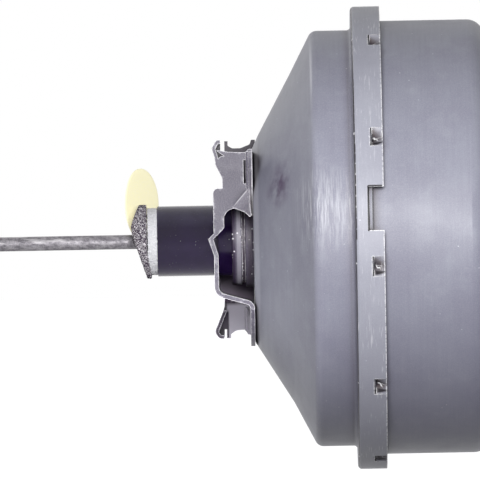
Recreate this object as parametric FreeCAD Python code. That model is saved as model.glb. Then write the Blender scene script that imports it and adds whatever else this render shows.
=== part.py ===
"""Single-diaphragm vacuum brake booster for a car.

Frame, in millimetres: +X runs along the booster's axis towards the master cylinder, +Z is up and
the near side is -Y. The origin is on the axis, in the plane where the bracket meets the firewall.
At rest the brake is off: the valve body is fully back and the return spring is at its longest.
"""

import FreeCAD
import Part
import math
import os

V = FreeCAD.Vector
AXIS = V(1, 0, 0)

# Running, sliding and seating clearances
running = 0.06
loose = 0.3
seated = 0.05

# Pressed shells
sheet = 2.0
bracket_depth = 24.0
flat_r = 58.6
flat_drop = 3.4
shoulder_length = 4.0
shoulder_r = 66.0
shoulder_drop = 2.3
waist_length = 23.0
waist_r = 98.8
cone_length = 36.97
rear_r = 125.8
rear_length = 23.83
corner_r = 5.5
flat_corner_r = 4.0

# Lanced band that locks the two shells together
band_step = 14.2
band_width = 17.6
band_corner_r = 2.4
lance_count = 11
lance_first_deg = -7.1
lance_width = 12.0
lance_depth = 5.0
lance_exit_depth = 1.4
lance_slit = 0.8
lance_reach = 6.7
notch_from_deg = 1.8
notch_to_deg = 12.6
notch_depth = 9.3

# Front shell
drum_step = 8.9
drum_length = 72.1
drum_corner_r = 10.6
flange_gap = 0.4
pad_r = 78.0
pad_rise = 6.0
pad_slope = 10.0
pushrod_hole_r = 20.5
pushrod_collar = 7.0
collar_bend_r = 1.0

# Neck on the rear shell, with its seal and bearing
neck_length = 13.1
neck_r = 27.1
neck_bore_r = 24.2
neck_lip = 1.5
neck_ring_length = 5.9
neck_groove = 2.1
neck_groove_r = 25.7
neck_step_r = 28.4
neck_step_length = 3.9
neck_foot = 1.1
neck_flange = 3.5
neck_flange_thickness = 1.5
bearing_length = 4.6
retainer_length = 1.2

# Valve body and its stroke
stroke = 30.0
tube_r = 21.2
tube_wall = 1.4
tube_rest = 4.2
poppet_bore_r = 17.5
poppet_step_x = 4.0
web_x = 29.0
web_end_x = 52.0
hub_end_x = 66.0
hub_r = 20.0
flange_r = 34.0
flange_thickness = 4.5
plate_x = 46.0
passage_r = 1.5
passage_count = 4

# Diaphragm and its plate
plate_thickness = 1.5
plate_flat_r = 58.0
plate_cone_x = 64.0
plate_rim_gap = 6.8
plate_rim_flat = 17.0
plate_rim = 6.0
rubber = 1.8
fold_gap = 0.9
bead_gap = 1.0
bead_width = 8.5

# Air valve, ball and pushrods
valve_travel = 1.5
plunger_r = 9.0
plunger_head_r = 12.5
plunger_head_x = 20.0
plunger_head_length = 7.0
plunger_nose_gap = 0.3
ball_x = 24.3
ball_r = 5.0
seat_wall = 2.0
seat_length = 7.5
rod_r = 4.3
rod_neck_r = 2.8
rod_neck_length = 10.0
rod_reach = 152.0
eye_r = 12.5
eye_width = 9.0
pedal_pin_r = 6.35
bush_wall = 1.6
bush_lip = 0.8
key_thickness = 2.4
key_x = 35.8
key_half_width = 5.5
key_reach = 26.5
key_slot_in_plunger_r = 6.0
disc_r = 14.0
disc_thickness = 7.4
push_head = 4.4
push_r = 5.5
push_reach = 176.0
screw_r = 3.0
screw_length = 14.0
screw_head_r = 4.6
screw_head = 5.0
clip_thickness = 1.2

# Poppet valve
poppet_flange = 1.7
poppet_flange_bore_r = 9.5
poppet_sleeve_length = 6.0
poppet_bead = 2.4
poppet_face = 2.7
poppet_face_r = 15.4
poppet_hole_r = 8.0
poppet_sleeve_r = 14.2

# Springs
coil_steps = 8
wire_sides = 8
return_wire_r = 2.1
return_rear_r = 44.0
return_front_r = 60.0
return_turns = 5
poppet_wire_r = 0.6
poppet_spring_r = 11.6
poppet_turns = 4
valve_wire_r = 0.8
valve_spring_r = 8.2
valve_turns = 4
valve_spring_length = 15.4
spring_seat_r = 10.5
spring_seat_thickness = 1.4

# Filters and the tag on the input pushrod
felt_r = 20.3
felt_length = 6.0
felt_inner_layer = 1.6
felt_hole_r = 9.7
foam_r = 22.6
foam_tip_x = -51.5
foam_slope = 0.52
foam_tip_z = 9.8
tag_r = 21.5
tag_thickness = 0.8
tag_turn_deg = 27.7
tag_x = -43.6
tag_y = 20.0
tag_z = 22.9

# Master cylinder studs
stud_spacing = 83.0
stud_r = 4.76
stud_shoulder_r = 5.15
stud_reach = 22.0
stud_head_r = 9.0
stud_head = 4.0
stud_plate_r = 52.0
stud_plate_thickness = 3.0

# Vacuum check valve in its grommet
valve_y = 52.0
valve_z = 90.0
grommet_r = 11.0
grommet_flange_r = 14.0
grommet_flange = 2.0
check_stem_r = 8.0
check_body_r = 12.0
check_body_length = 18.0
check_wall = 2.0
check_cap = 3.0
nozzle_r = 5.0
nozzle_bore_r = 3.2
nozzle_length = 28.0
barb_r = 5.8
check_disc_r = 7.2
check_disc = 2.0
check_wire_r = 0.4
check_spring_r = 5.5
check_turns = 3

# Firewall bracket
bracket_sheet = 2.6
bracket_half_width = 50.0
bracket_bottom = 64.3
bracket_trim_r = 65.3
foot_top = 53.0
foot_bend_r = 3.0
plate_top = 31.3
plate_top_bend_r = 2.9
top_wall_flat = 6.2
top_wall_end = 33.2
plate_bottom = 33.4
plate_bottom_bend_r = 7.0
bottom_wall_slope = 0.287
tube_hole_r = 24.0
firewall_hole_r = 4.4
firewall_spacing_y = 76.0
firewall_spacing_z = 38.0

# Ears, tabs and edges of the bracket's cheeks
ear_sheet = 2.0
ear_depth = 12.0
low_ear_depth = 30.0
ear_top = 60.6
ear_x = -0.5
ear_z = 55.7
ear_bend_r = 3.6
low_ear_end_x = 5.2
low_ear_end_z = 42.0
gap_from_x = 4.8
gap_to_x = 7.3
gap_bottom = 54.2
tab_to_x = 9.3
tab_top = 60.2
rear_tab_x = 23.6
low_gap_from_x = 5.6
low_gap_to_x = 6.8
low_tab_bottom = 59.6
cheek_waist_x = 5.7
cheek_waist_z = 37.6
cheek_near_top = 53.2
cheek_far_top = 55.8
cheek_slot_x = 19.3
cheek_slot_z = 41.1
cheek_slot = 14.4
cheek_slot_width = 1.4
arch_top_x = 12.5
arch_top_z = 19.2
arch_strip_x = 6.4
arch_strip_z = 7.6
fold_x = 20.9
fold_gap_x = 1.5
fold_r = 0.9
fold_rise = 0.6
fold_from_z = 32.5
gusset_x = 23.0
gusset_z = 15.0
gusset_rise = 1.3
crease_reach = 3.3
crease_from_z = -9.0
crease_to_z = 4.0
crease_depth = 14.0

# How far the cutting bodies reach past what they cut
overcut = 10.0

# Places worked out from the sizes above
tube_reach = stroke + tube_rest
flat_x = bracket_depth
shoulder_x = flat_x + shoulder_length
waist_x = flat_x + waist_length
cone_x = flat_x + cone_length
band_x = cone_x + rear_length
band_end = band_x + band_width
band_r = rear_r + band_step
drum_r = band_r - drum_step
front_flange_r = band_r - sheet - flange_gap
cone_slope = math.atan2(rear_r - waist_r, cone_x - waist_x)
wall_shift = sheet / math.sin(cone_slope)
slit_x = band_end - lance_reach
front_flange_x = slit_x - sheet - seated
front_x = front_flange_x + drum_length
pad_x = front_x + pad_rise
neck_x = flat_x - neck_length
neck_hole_r = neck_step_r + neck_foot
bearing_x = neck_x + neck_lip + retainer_length
plate_rim_r = rear_r - sheet - plate_rim_gap
plate_cone_r = plate_rim_r - plate_rim_flat
bead_r = band_r - sheet - bead_gap
bead_inner_r = bead_r - bead_width
diaphragm_x = plate_x - rubber
disc_x = web_end_x + seated
push_x = disc_x + disc_thickness + seated
felt_x = -tube_reach - felt_length
stud_inside_x = pad_x - sheet - stud_plate_thickness
foot_x = flat_x - bracket_sheet


def corner(before, at, after, radius):
    """The arc that rounds one corner of a path, as its two ends and its middle."""
    a = (before - at).normalize()
    b = (after - at).normalize()
    half = math.acos(max(-1.0, min(1.0, a.dot(b)))) / 2
    run = radius / math.tan(half)
    middle = at + (a + b).normalize() * (radius / math.sin(half) - radius)
    return at + a * run, middle, at + b * run


def path_wire(points, closed):
    """Straight runs through (x, z) or (x, z, radius) points, with the corners rounded."""
    spots = [V(p[0], 0, p[1]) for p in points]
    radii = [p[2] if len(p) > 2 else 0 for p in points]
    count = len(spots)
    edges = []
    ends = []
    for i in range(count):
        inner = closed or 0 < i < count - 1
        if radii[i] > 0 and inner:
            ends.append(corner(spots[i - 1], spots[i], spots[(i + 1) % count], radii[i]))
        else:
            ends.append((spots[i], None, spots[i]))
    for i in range(count if closed else count - 1):
        start = ends[i][2]
        stop = ends[(i + 1) % count][0]
        if (stop - start).Length > 1e-6:
            edges.append(Part.LineSegment(start, stop).toShape())
        arc = ends[(i + 1) % count]
        if arc[1] is not None:
            edges.append(Part.Arc(*arc).toShape())
    return Part.Wire(Part.__sortEdges__(edges))


def turned(points):
    """A solid of revolution about the X axis from a closed (x, radius) outline."""
    return Part.Face(path_wire(points, True)).revolve(V(0, 0, 0), AXIS, 360)


def offset_path(points, thickness):
    """The closed outline of a sheet: a path and its copy on the left, both with their bends."""
    spots = [V(p[0], 0, p[1]) for p in points]
    radii = [p[2] if len(p) > 2 else 0 for p in points]
    steps = [(b - a).normalize() for a, b in zip(spots, spots[1:])]
    sides = [V(-s.z, 0, s.x) for s in steps]
    other = []
    for i, spot in enumerate(spots):
        first = sides[max(i - 1, 0)]
        second = sides[min(i, len(sides) - 1)]
        moved = spot + (first + second) * (thickness / (1 + first.dot(second)))
        turn = 0
        if 0 < i < len(spots) - 1:
            turn = steps[i - 1].x * steps[i].z - steps[i - 1].z * steps[i].x
        radius = radii[i] - thickness * math.copysign(1, turn) if radii[i] else 0
        other.append((moved.x, moved.z, max(radius, 0)))
    return list(points) + other[::-1]


def tube(x0, x1, inner_r, outer_r):
    """A ring or sleeve on the booster's axis."""
    outer = Part.makeCylinder(outer_r, x1 - x0, V(x0, 0, 0), AXIS)
    if inner_r <= 0:
        return outer
    return outer.cut(Part.makeCylinder(inner_r, x1 - x0 + 2, V(x0 - 1, 0, 0), AXIS))


def block(x0, x1, y0, y1, z0, z1):
    return Part.makeBox(x1 - x0, y1 - y0, z1 - z0, V(x0, y0, z0))


def coil(x0, x1, start_r, end_r, wire_r, turns):
    """A coil spring between two seats on the X axis, of eight-sided wire on a smooth helix."""
    length = x1 - x0 - 2 * wire_r
    count = turns * coil_steps
    spots = []
    for i in range(count + 1):
        share = i / count
        angle = 2 * math.pi * turns * share
        radius = start_r + (end_r - start_r) * share
        spots.append(V(x0 + wire_r + length * share, radius * math.cos(angle),
                       radius * math.sin(angle)))
    curve = Part.BSplineCurve()
    curve.interpolate(spots)
    along = curve.tangent(curve.FirstParameter)[0]
    out = along.cross(AXIS).normalize() * wire_r
    section = []
    for i in range(wire_sides + 1):
        spoke = FreeCAD.Rotation(along, 360.0 * i / wire_sides).multVec(out)
        section.append(spots[0] + spoke)
    return Part.Wire(curve.toShape()).makePipeShell([Part.makePolygon(section)], True, True)


def circle_at(x, radius, drop):
    return Part.Wire(Part.makeCircle(radius, V(x, 0, -drop), AXIS))


def edges_at(shape, x, radius):
    """The round edges of a shape that lie in one plane across the axis, near one radius."""
    found = []
    for edge in shape.Edges:
        box = edge.BoundBox
        if abs(box.XMin - x) < 0.01 and abs(box.XMax - x) < 0.01:
            if abs(box.YMax - radius) < 0.5:
                found.append(edge)
    return found


def rear_form(shift, thinner):
    """The rear shell's solid form up to its rim: an offset flat, a shoulder, a cone, a barrel."""
    end = cone_x + shift - thinner / math.tan(cone_slope)
    sections = [
        circle_at(flat_x + shift, flat_r, flat_drop),
        circle_at(shoulder_x + shift, shoulder_r, shoulder_drop),
        circle_at(waist_x + shift, waist_r, 0),
        circle_at(end, rear_r - thinner, 0),
    ]
    form = Part.makeLoft(sections, True, True)
    return form.fuse(tube(end, band_x + shift, 0, rear_r - thinner)).removeSplitter()


def near_direction(degrees):
    """A direction across the axis, counted upwards from the near side."""
    angle = math.radians(degrees)
    return V(0, -math.cos(angle), math.sin(angle))


def around(shape, degrees):
    """A copy of a piece made at the near side, turned about the axis."""
    copy = shape.copy()
    copy.rotate(V(0, 0, 0), AXIS, -degrees)
    return copy


def lance_section(x, depth):
    """The folded sheet of one lance in a plane across the axis, at the near side."""
    half = lance_width / 2 + 0.2
    side = math.sqrt(band_r ** 2 - half ** 2)
    outer = [V(x, -side, -half), V(x, -(band_r - depth), 0), V(x, -side, half)]
    inner = [V(p.x, p.y + sheet, p.z) for p in outer]
    return Part.makePolygon(outer + inner[::-1] + [outer[0]])


def lance():
    return Part.makeLoft([lance_section(slit_x, lance_depth),
                          lance_section(band_end, lance_exit_depth)], True, True)


def lance_window():
    half = lance_width / 2
    return block(slit_x - lance_slit, band_end + 1, -band_r - 1, -band_r + 4 * sheet, -half, half)


def notch():
    """The stretch of the band's free edge that is left out, to see the front shell's edge."""
    ring = tube(band_end - notch_depth, band_end + 1, band_r - 3 * sheet, band_r + 2)
    reach = 1.5 * band_r
    corners = [V(0, 0, 0), near_direction(notch_from_deg) * reach,
               near_direction(notch_to_deg) * reach, V(0, 0, 0)]
    wedge = Part.Face(Part.makePolygon(corners)).extrude(AXIS * (band_end + 2))
    return ring.common(wedge)


def rear_neck():
    """The drawn neck that carries the valve body. Its flange lies against the shell's inside."""
    ring_end = neck_x + neck_ring_length
    step_x = ring_end + neck_groove
    step_end = step_x + neck_step_length
    flange_x = flat_x + wall_shift + seated
    flange_end = flange_x + neck_flange_thickness
    return turned([
        (neck_x, tube_r + 4 * loose), (neck_x, neck_r, 0.8), (ring_end, neck_r, 0.5),
        (ring_end, neck_groove_r), (step_x, neck_groove_r), (step_x, neck_step_r, 0.8),
        (step_end, neck_step_r, 0.6), (flat_x, neck_hole_r - seated),
        (flange_x, neck_hole_r - seated), (flange_x, neck_hole_r + neck_flange),
        (flange_end, neck_hole_r + neck_flange), (flange_end, neck_bore_r),
        (neck_x + neck_lip, neck_bore_r), (neck_x + neck_lip, tube_r + 4 * loose),
    ])


def rear_shell():
    outer = rear_form(0, 0)
    rim = tube(band_x, band_end, 0, band_r)
    outer = outer.fuse(rim).removeSplitter()
    outer = outer.makeFillet(flat_corner_r, edges_at(outer, flat_x, flat_r))
    outer = outer.makeFillet(corner_r, edges_at(outer, cone_x, rear_r))
    outer = outer.makeFillet(band_corner_r, edges_at(outer, band_x, rear_r))
    outer = outer.makeFillet(band_corner_r, edges_at(outer, band_x, band_r))
    inner = rear_form(wall_shift, sheet)
    shell = outer.cut(inner)
    shell = shell.cut(tube(band_x + sheet, band_end + 1, 0, band_r - sheet))
    shell = shell.cut(tube(flat_x - 1, flat_x + overcut, 0, neck_hole_r))
    step = 360.0 / lance_count
    turns = [lance_first_deg + step * i for i in range(lance_count)]
    shell = shell.cut([around(lance_window(), a) for a in turns])
    shell = shell.fuse([around(lance(), a) for a in turns])
    return shell.cut(notch()).removeSplitter()


def stud_hole(y):
    return Part.makeCylinder(stud_shoulder_r + seated, 2 * overcut, V(pad_x - overcut, y, 0), AXIS)


def front_shell():
    path = [
        (front_flange_x, front_flange_r), (front_flange_x, drum_r - sheet, 0.1),
        (front_x - sheet, drum_r - sheet, drum_corner_r - sheet),
        (front_x - sheet, pad_r + pad_slope, 5.0), (pad_x - sheet, pad_r, 3.0),
        (pad_x - sheet, pushrod_hole_r + sheet, collar_bend_r),
        (pad_x - pushrod_collar, pushrod_hole_r + sheet),
    ]
    shell = turned(offset_path(path, sheet))
    for y in (-stud_spacing / 2, stud_spacing / 2):
        shell = shell.cut(stud_hole(y))
    hole = Part.makeCylinder(grommet_r, 20, V(front_x - 10, valve_y, valve_z), AXIS)
    return shell.cut(hole)


def rear_seal():
    start = bearing_x + bearing_length
    lip = flat_x + wall_shift
    return turned([
        (start, tube_r + 2.0), (start + 1, tube_r + running), (start + 3, tube_r + running),
        (start + 3.8, tube_r + 1.4), (lip, tube_r + 1.4), (lip, neck_bore_r), (start, neck_bore_r),
    ])


def rear_bearing():
    return tube(bearing_x, bearing_x + bearing_length, tube_r + running, neck_bore_r)


def seal_retainer():
    return tube(neck_x + neck_lip, bearing_x, tube_r + 2 * loose, neck_bore_r)


def front_seal():
    start = pad_x - pushrod_collar
    return turned([
        (start, push_r + running), (start + 3, push_r + running), (start + 3, push_r + 2.5),
        (start + 3, pushrod_hole_r - 3.5), (pad_x - 1, pushrod_hole_r - 2.5),
        (pad_x - 1, pushrod_hole_r - seated), (start, pushrod_hole_r - seated),
    ])


def stud_plate():
    plate = tube(stud_inside_x, stud_inside_x + stud_plate_thickness,
                 pushrod_hole_r + sheet + collar_bend_r + loose, stud_plate_r)
    for y in (-stud_spacing / 2, stud_spacing / 2):
        plate = plate.cut(stud_hole(y))
    return plate


def studs():
    """Pressed studs: a round head inside, a plain shoulder through the plates and a thread."""
    stud = turned([
        (stud_inside_x - stud_head, 0), (stud_inside_x - stud_head, stud_head_r, 0.8),
        (stud_inside_x, stud_head_r), (stud_inside_x, stud_shoulder_r),
        (pad_x, stud_shoulder_r), (pad_x, stud_r),
        (pad_x + stud_reach - 1, stud_r), (pad_x + stud_reach, stud_r - 1),
        (pad_x + stud_reach, 0),
    ])
    made = []
    for y in (-stud_spacing / 2, stud_spacing / 2):
        copy = stud.copy()
        copy.translate(V(0, y, 0))
        made.append(copy)
    return Part.makeCompound(made)


def diaphragm():
    """Rubber that follows the plate's back, folds forward beside it and ends in a clamped bead."""
    roll_r = rear_r - sheet - fold_gap
    path = [
        (diaphragm_x, tube_r + 2 * loose), (diaphragm_x, plate_flat_r + 1.0, 4.0),
        (plate_cone_x - rubber, plate_cone_r + 1.0, 4.0), (plate_cone_x - rubber, roll_r, 2.5),
        (band_x + sheet + 0.1, roll_r, 0.2), (band_x + sheet + 0.1, bead_inner_r + 1),
    ]
    skin = turned(offset_path(path, -rubber))
    bead = turned([
        (band_x + sheet + seated, bead_inner_r), (band_x + sheet + seated, bead_r, 1.5),
        (front_flange_x - seated, bead_r, 1.5), (front_flange_x - seated, bead_inner_r, 1.0),
    ])
    hub = turned([
        (diaphragm_x - 4, tube_r + seated), (diaphragm_x - 4, tube_r + 5, 1.2),
        (diaphragm_x + 0.5, tube_r + 5), (plate_x - seated, tube_r + 5),
        (plate_x - seated, tube_r + seated),
    ])
    return skin.fuse([bead, hub]).removeSplitter()


def diaphragm_plate():
    path = [
        (plate_x, tube_r + seated), (plate_x, plate_flat_r, 5.0),
        (plate_cone_x, plate_cone_r, 5.0), (plate_cone_x, plate_rim_r, 3.0),
        (plate_cone_x + plate_rim, plate_rim_r + 1),
    ]
    return turned(offset_path(path, -plate_thickness))


def valve_body():
    """The moulded body: filter tube, poppet chamber, web for the air valve and reaction cup."""
    inner_r = tube_r - tube_wall
    front = plate_x + plate_thickness + seated
    seat_x = plunger_head_x + 2
    body = turned([
        (-tube_reach, inner_r), (-tube_reach, tube_r, 0.6), (front, tube_r),
        (front, flange_r, 1.0), (front + flange_thickness, flange_r, 1.5),
        (front + flange_thickness, hub_r + 3, 2.0), (front + flange_thickness + 6, hub_r, 2.0),
        (hub_end_x, hub_r, 0.8), (hub_end_x, disc_r + seated),
        (web_end_x, disc_r + seated), (web_end_x, plunger_r + running),
        (web_x, plunger_r + running), (web_x, plunger_head_r + 0.5),
        (seat_x, plunger_head_r + 0.5), (seat_x, plunger_head_r + 2.2),
        (seat_x + 2, plunger_head_r + 2.2), (seat_x + 2, poppet_bore_r),
        (poppet_step_x, poppet_bore_r), (poppet_step_x, inner_r),
    ])
    holes = []
    ring_r = (plunger_head_r + 2.2 + poppet_bore_r) / 2
    for i in range(passage_count):
        angle = math.radians(45 + 360.0 * i / passage_count)
        at = V(seat_x, ring_r * math.cos(angle), ring_r * math.sin(angle))
        holes.append(Part.makeCylinder(passage_r, hub_end_x, at, AXIS))
    slot = block(key_x - loose, key_x + key_thickness + loose, -tube_r - 1, tube_r + 1,
                 -key_half_width - loose, key_half_width + loose)
    return body.cut(holes + [slot])


def valve_key():
    """The forked key that keeps the air valve in the body."""
    plate = block(key_x, key_x + key_thickness, -key_reach, tube_r - 1.0,
                  -key_half_width, key_half_width)
    mouth = block(key_x - 1, key_x + key_thickness + 1, 0, tube_r + 1,
                  -key_slot_in_plunger_r + 1.5, key_slot_in_plunger_r - 1.5)
    bore = Part.makeCylinder(key_slot_in_plunger_r - 1.5, key_thickness + 2, V(key_x - 1, 0, 0), AXIS)
    return plate.cut([mouth, bore])


def valve_plunger():
    socket_end = ball_x + ball_r + 0.7
    socket_r = ball_r + seat_wall + 2 * running + loose
    head_end = plunger_head_x + plunger_head_length
    nose = web_end_x - valve_travel - plunger_nose_gap
    slot_from = key_x - valve_travel - loose
    slot_to = key_x + key_thickness + loose
    waist = key_slot_in_plunger_r - 1.5 - loose
    return turned([
        (plunger_head_x, socket_r), (plunger_head_x, plunger_head_r, 0.5),
        (head_end, plunger_head_r, 0.5), (head_end, plunger_r), (slot_from, plunger_r),
        (slot_from, waist), (slot_to, waist), (slot_to, plunger_r), (nose, plunger_r, 0.5),
        (nose, 0), (socket_end, 0), (socket_end, socket_r),
    ])


def ball_seat():
    sleeve = tube(ball_x - seat_length / 2, ball_x + seat_length / 2, 0, ball_r + seat_wall)
    mouth = tube(ball_x - seat_length / 2 - 1, ball_x, 0, rod_neck_r + 0.5)
    return sleeve.cut([Part.makeSphere(ball_r + running, V(ball_x, 0, 0)), mouth])


def eye_outline(radius, inner, width):
    ring = Part.makeCylinder(radius, width, V(-rod_reach, -width / 2, 0), V(0, 1, 0))
    return ring.cut(Part.makeCylinder(inner, width + 2, V(-rod_reach, -width / 2 - 1, 0), V(0, 1, 0)))


def input_pushrod():
    eye_start = -rod_reach + pedal_pin_r + bush_wall + 2
    neck_from = ball_x - ball_r - rod_neck_length
    stem = turned([
        (eye_start, 0), (eye_start, rod_r), (neck_from, rod_r), (neck_from + 3, rod_neck_r),
        (ball_x, rod_neck_r), (ball_x, 0),
    ])
    ball = Part.makeSphere(ball_r, V(ball_x, 0, 0))
    eye = eye_outline(eye_r, pedal_pin_r + bush_wall, eye_width)
    rod = stem.fuse([ball, eye])
    return rod.cut(Part.makeCylinder(pedal_pin_r + bush_wall, eye_width + 2,
                                     V(-rod_reach, -eye_width / 2 - 1, 0), V(0, 1, 0)))


def pedal_bush():
    outer = pedal_pin_r + bush_wall - seated
    body = eye_outline(outer, pedal_pin_r, eye_width + 2 * bush_lip)
    lip = eye_outline(outer + 1.5, pedal_pin_r, bush_lip)
    far = lip.copy()
    lip.translate(V(0, -eye_width / 2 - bush_lip / 2, 0))
    far.translate(V(0, eye_width / 2 + bush_lip / 2, 0))
    return body.fuse([lip, far]).removeSplitter()


def reaction_disc():
    return tube(disc_x, disc_x + disc_thickness, 0, disc_r)


def output_pushrod():
    head_end = push_x + push_head
    return turned([
        (push_x, 0), (push_x, disc_r, 0.6), (head_end, disc_r, 0.8), (head_end, push_r + 1, 0.5),
        (head_end + 2, push_r), (push_reach, push_r, 0.6), (push_reach, screw_r + seated),
        (push_reach - screw_length - 1, screw_r + seated), (push_reach - screw_length - 1, 0),
    ])


def pushrod_screw():
    shank = tube(push_reach - screw_length, push_reach + 1, 0, screw_r)
    corners = [V(push_reach + seated, screw_head_r * math.cos(math.radians(60 * i)),
                 screw_head_r * math.sin(math.radians(60 * i))) for i in range(7)]
    hexagon = Part.Face(Part.makePolygon(corners)).extrude(AXIS * screw_head)
    top = push_reach + screw_head + seated
    nose = turned([(top - 1, 0), (top - 1, screw_r), (top + 1.5, screw_r, 1.5), (top + 3, 0)])
    return shank.fuse([hexagon, nose]).removeSplitter()


def pushrod_clip():
    """The pressed ring that holds the output pushrod in the reaction cup."""
    return turned([
        (hub_end_x + seated, push_r + 1.5), (hub_end_x + seated + clip_thickness, push_r + 1.5),
        (hub_end_x + seated + clip_thickness, hub_r + 1.2, 1.0),
        (hub_end_x - 4, hub_r + 1.2), (hub_end_x - 4, hub_r + seated),
        (hub_end_x + seated, hub_r + seated),
    ])


def poppet_retainer():
    start = poppet_step_x - poppet_flange
    sleeve_end = poppet_step_x + poppet_sleeve_length
    return turned([
        (start, poppet_flange_bore_r), (start, tube_r - tube_wall - seated),
        (poppet_step_x - seated, tube_r - tube_wall - seated),
        (poppet_step_x - seated, poppet_bore_r - seated), (sleeve_end, poppet_bore_r - seated),
        (sleeve_end, poppet_bore_r - 1.2), (poppet_step_x + 1, poppet_bore_r - 1.2, 0.5),
        (poppet_step_x + 1, poppet_sleeve_r), (poppet_step_x, poppet_sleeve_r),
        (poppet_step_x, poppet_flange_bore_r),
    ])


def poppet_valve():
    """Rubber bead, thin sleeve and sealing face. The face closes on the air valve's head."""
    bead_x = poppet_step_x + poppet_sleeve_length + seated
    face_end = plunger_head_x - loose
    return turned([
        (bead_x, poppet_sleeve_r - 1.2), (bead_x, poppet_bore_r - seated, 0.6),
        (bead_x + poppet_bead, poppet_bore_r - seated, 0.6), (bead_x + poppet_bead, poppet_sleeve_r),
        (face_end - poppet_face, poppet_sleeve_r), (face_end - poppet_face, poppet_face_r, 0.4),
        (face_end, poppet_face_r, 0.6), (face_end, poppet_hole_r, 0.4),
        (face_end - poppet_face, poppet_hole_r, 0.4),
        (face_end - poppet_face, poppet_sleeve_r - 1.2),
    ])


def poppet_spring():
    return coil(poppet_step_x + seated, plunger_head_x - loose - poppet_face - seated,
                poppet_spring_r, poppet_spring_r, poppet_wire_r, poppet_turns)


def valve_spring_ends():
    front = poppet_step_x - poppet_flange - seated
    return front - valve_spring_length, front


def spring_seat():
    rear, _ = valve_spring_ends()
    end = rear - seated
    return turned([
        (end - spring_seat_thickness - 1.4, rod_r + seated),
        (end - spring_seat_thickness - 1.4, rod_r + 1.4), (end - spring_seat_thickness, rod_r + 1.4),
        (end - spring_seat_thickness, spring_seat_r, 0.5), (end, spring_seat_r, 0.5),
        (end, rod_r + seated),
    ])


def valve_return_spring():
    rear, front = valve_spring_ends()
    return coil(rear, front, valve_spring_r, poppet_flange_bore_r + valve_wire_r + 1,
                valve_wire_r, valve_turns)


def return_spring():
    return coil(plate_x + plate_thickness + seated, pad_x - sheet - seated,
                return_rear_r, return_front_r, return_wire_r, return_turns)


def felt():
    """Two felt layers against the tube's end, open in the middle for the tilting pushrod."""
    split = -tube_reach - felt_inner_layer
    return Part.makeCompound([tube(split + seated, -tube_reach, felt_hole_r, felt_r),
                              tube(felt_x, split - seated, felt_hole_r, felt_r)])


def tag_slab(thickness, radius):
    """The disc of card, or the slit for it, turned about Z so that it leans back."""
    turn = math.radians(tag_turn_deg)
    normal = V(math.cos(turn), -math.sin(turn), 0)
    start = V(tag_x, tag_y, tag_z) - normal * (thickness / 2)
    return Part.makeCylinder(radius, thickness, start, normal)


def foam():
    """Foam disc with a slanting back face, slit behind where the tag is tucked in."""
    end = felt_x - loose
    disc = tube(foam_tip_x - 1, end, rod_r + seated, foam_r)
    bottom = foam_tip_z - (end - foam_tip_x) / foam_slope * 1.02
    top = foam_r + 1
    back = path_wire([
        (foam_tip_x, foam_tip_z, 1.0), (foam_tip_x + 3.6, foam_r + 0.2, 1.5), (end + 1, top),
        (end + 1, bottom),
    ], True)
    wedge = Part.Face(back).extrude(V(0, 4 * foam_r, 0))
    wedge.translate(V(0, -2 * foam_r, 0))
    return disc.common(wedge).cut(tag_slab(tag_thickness + 2 * loose, tag_r + loose))


def tag():
    return tag_slab(tag_thickness, tag_r)


def at_valve(shape):
    """Moves a piece made on the booster's axis onto the check valve's axis."""
    shape.translate(V(0, valve_y, valve_z))
    return shape


def valve_grommet():
    inside = front_x - sheet
    bore = check_stem_r + seated
    return at_valve(turned([
        (inside - grommet_flange, bore), (inside - grommet_flange, grommet_flange_r - 1, 1.0),
        (inside - seated, grommet_flange_r - 1), (inside - seated, grommet_r - seated),
        (front_x + seated, grommet_r - seated), (front_x + seated, grommet_flange_r),
        (front_x + grommet_flange, grommet_flange_r, 1.0), (front_x + grommet_flange, bore),
    ]))


def check_body():
    """The elbow: stem through the grommet, round chamber and a hose nozzle pointing up."""
    start = front_x - sheet - grommet_flange - 3
    base = front_x + grommet_flange + loose
    end = base + check_body_length
    body = turned([
        (start, 4.0), (start, check_stem_r - 1), (start + 1, check_stem_r), (base, check_stem_r),
        (base, check_body_r, 1.0), (end, check_body_r), (end, check_body_r - check_wall),
        (base + check_wall, check_body_r - check_wall), (base + check_wall, 4.0),
    ])
    middle = base + check_body_length * 0.58
    nozzle = Part.makeCylinder(nozzle_r, nozzle_length + 1, V(middle, 0, check_body_r - 1))
    for height in (nozzle_length - 4, nozzle_length - 9):
        foot = V(middle, 0, check_body_r + height)
        nozzle = nozzle.fuse(Part.makeCone(barb_r, nozzle_r, 3, foot))
    bore = Part.makeCylinder(nozzle_bore_r, nozzle_length + check_body_r, V(middle, 0, 4))
    return at_valve(body.fuse(nozzle).cut(bore).removeSplitter())


def check_ends():
    base = front_x + grommet_flange + loose
    return base + check_wall, base + check_body_length


def check_cover():
    _, end = check_ends()
    lip_r = check_body_r - check_wall - seated
    return at_valve(turned([
        (end - 2, lip_r - 1.5), (end - 2, lip_r), (end + seated, lip_r), (end + seated, check_body_r),
        (end + check_cap, check_body_r, 1.0), (end + check_cap, 0), (end + 1, 0), (end + 1, lip_r - 1.5),
    ]))


def check_poppet():
    seat, _ = check_ends()
    return at_valve(turned([
        (seat + loose, 0), (seat + loose, check_disc_r), (seat + loose + check_disc, check_disc_r),
        (seat + loose + check_disc, 2.0), (seat + loose + check_disc + 4, 2.0, 0.5),
        (seat + loose + check_disc + 4, 0),
    ]))


def check_spring():
    seat, end = check_ends()
    return at_valve(coil(seat + loose + check_disc + seated, end + 1 - seated,
                         check_spring_r, check_spring_r, check_wire_r, check_turns))


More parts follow.
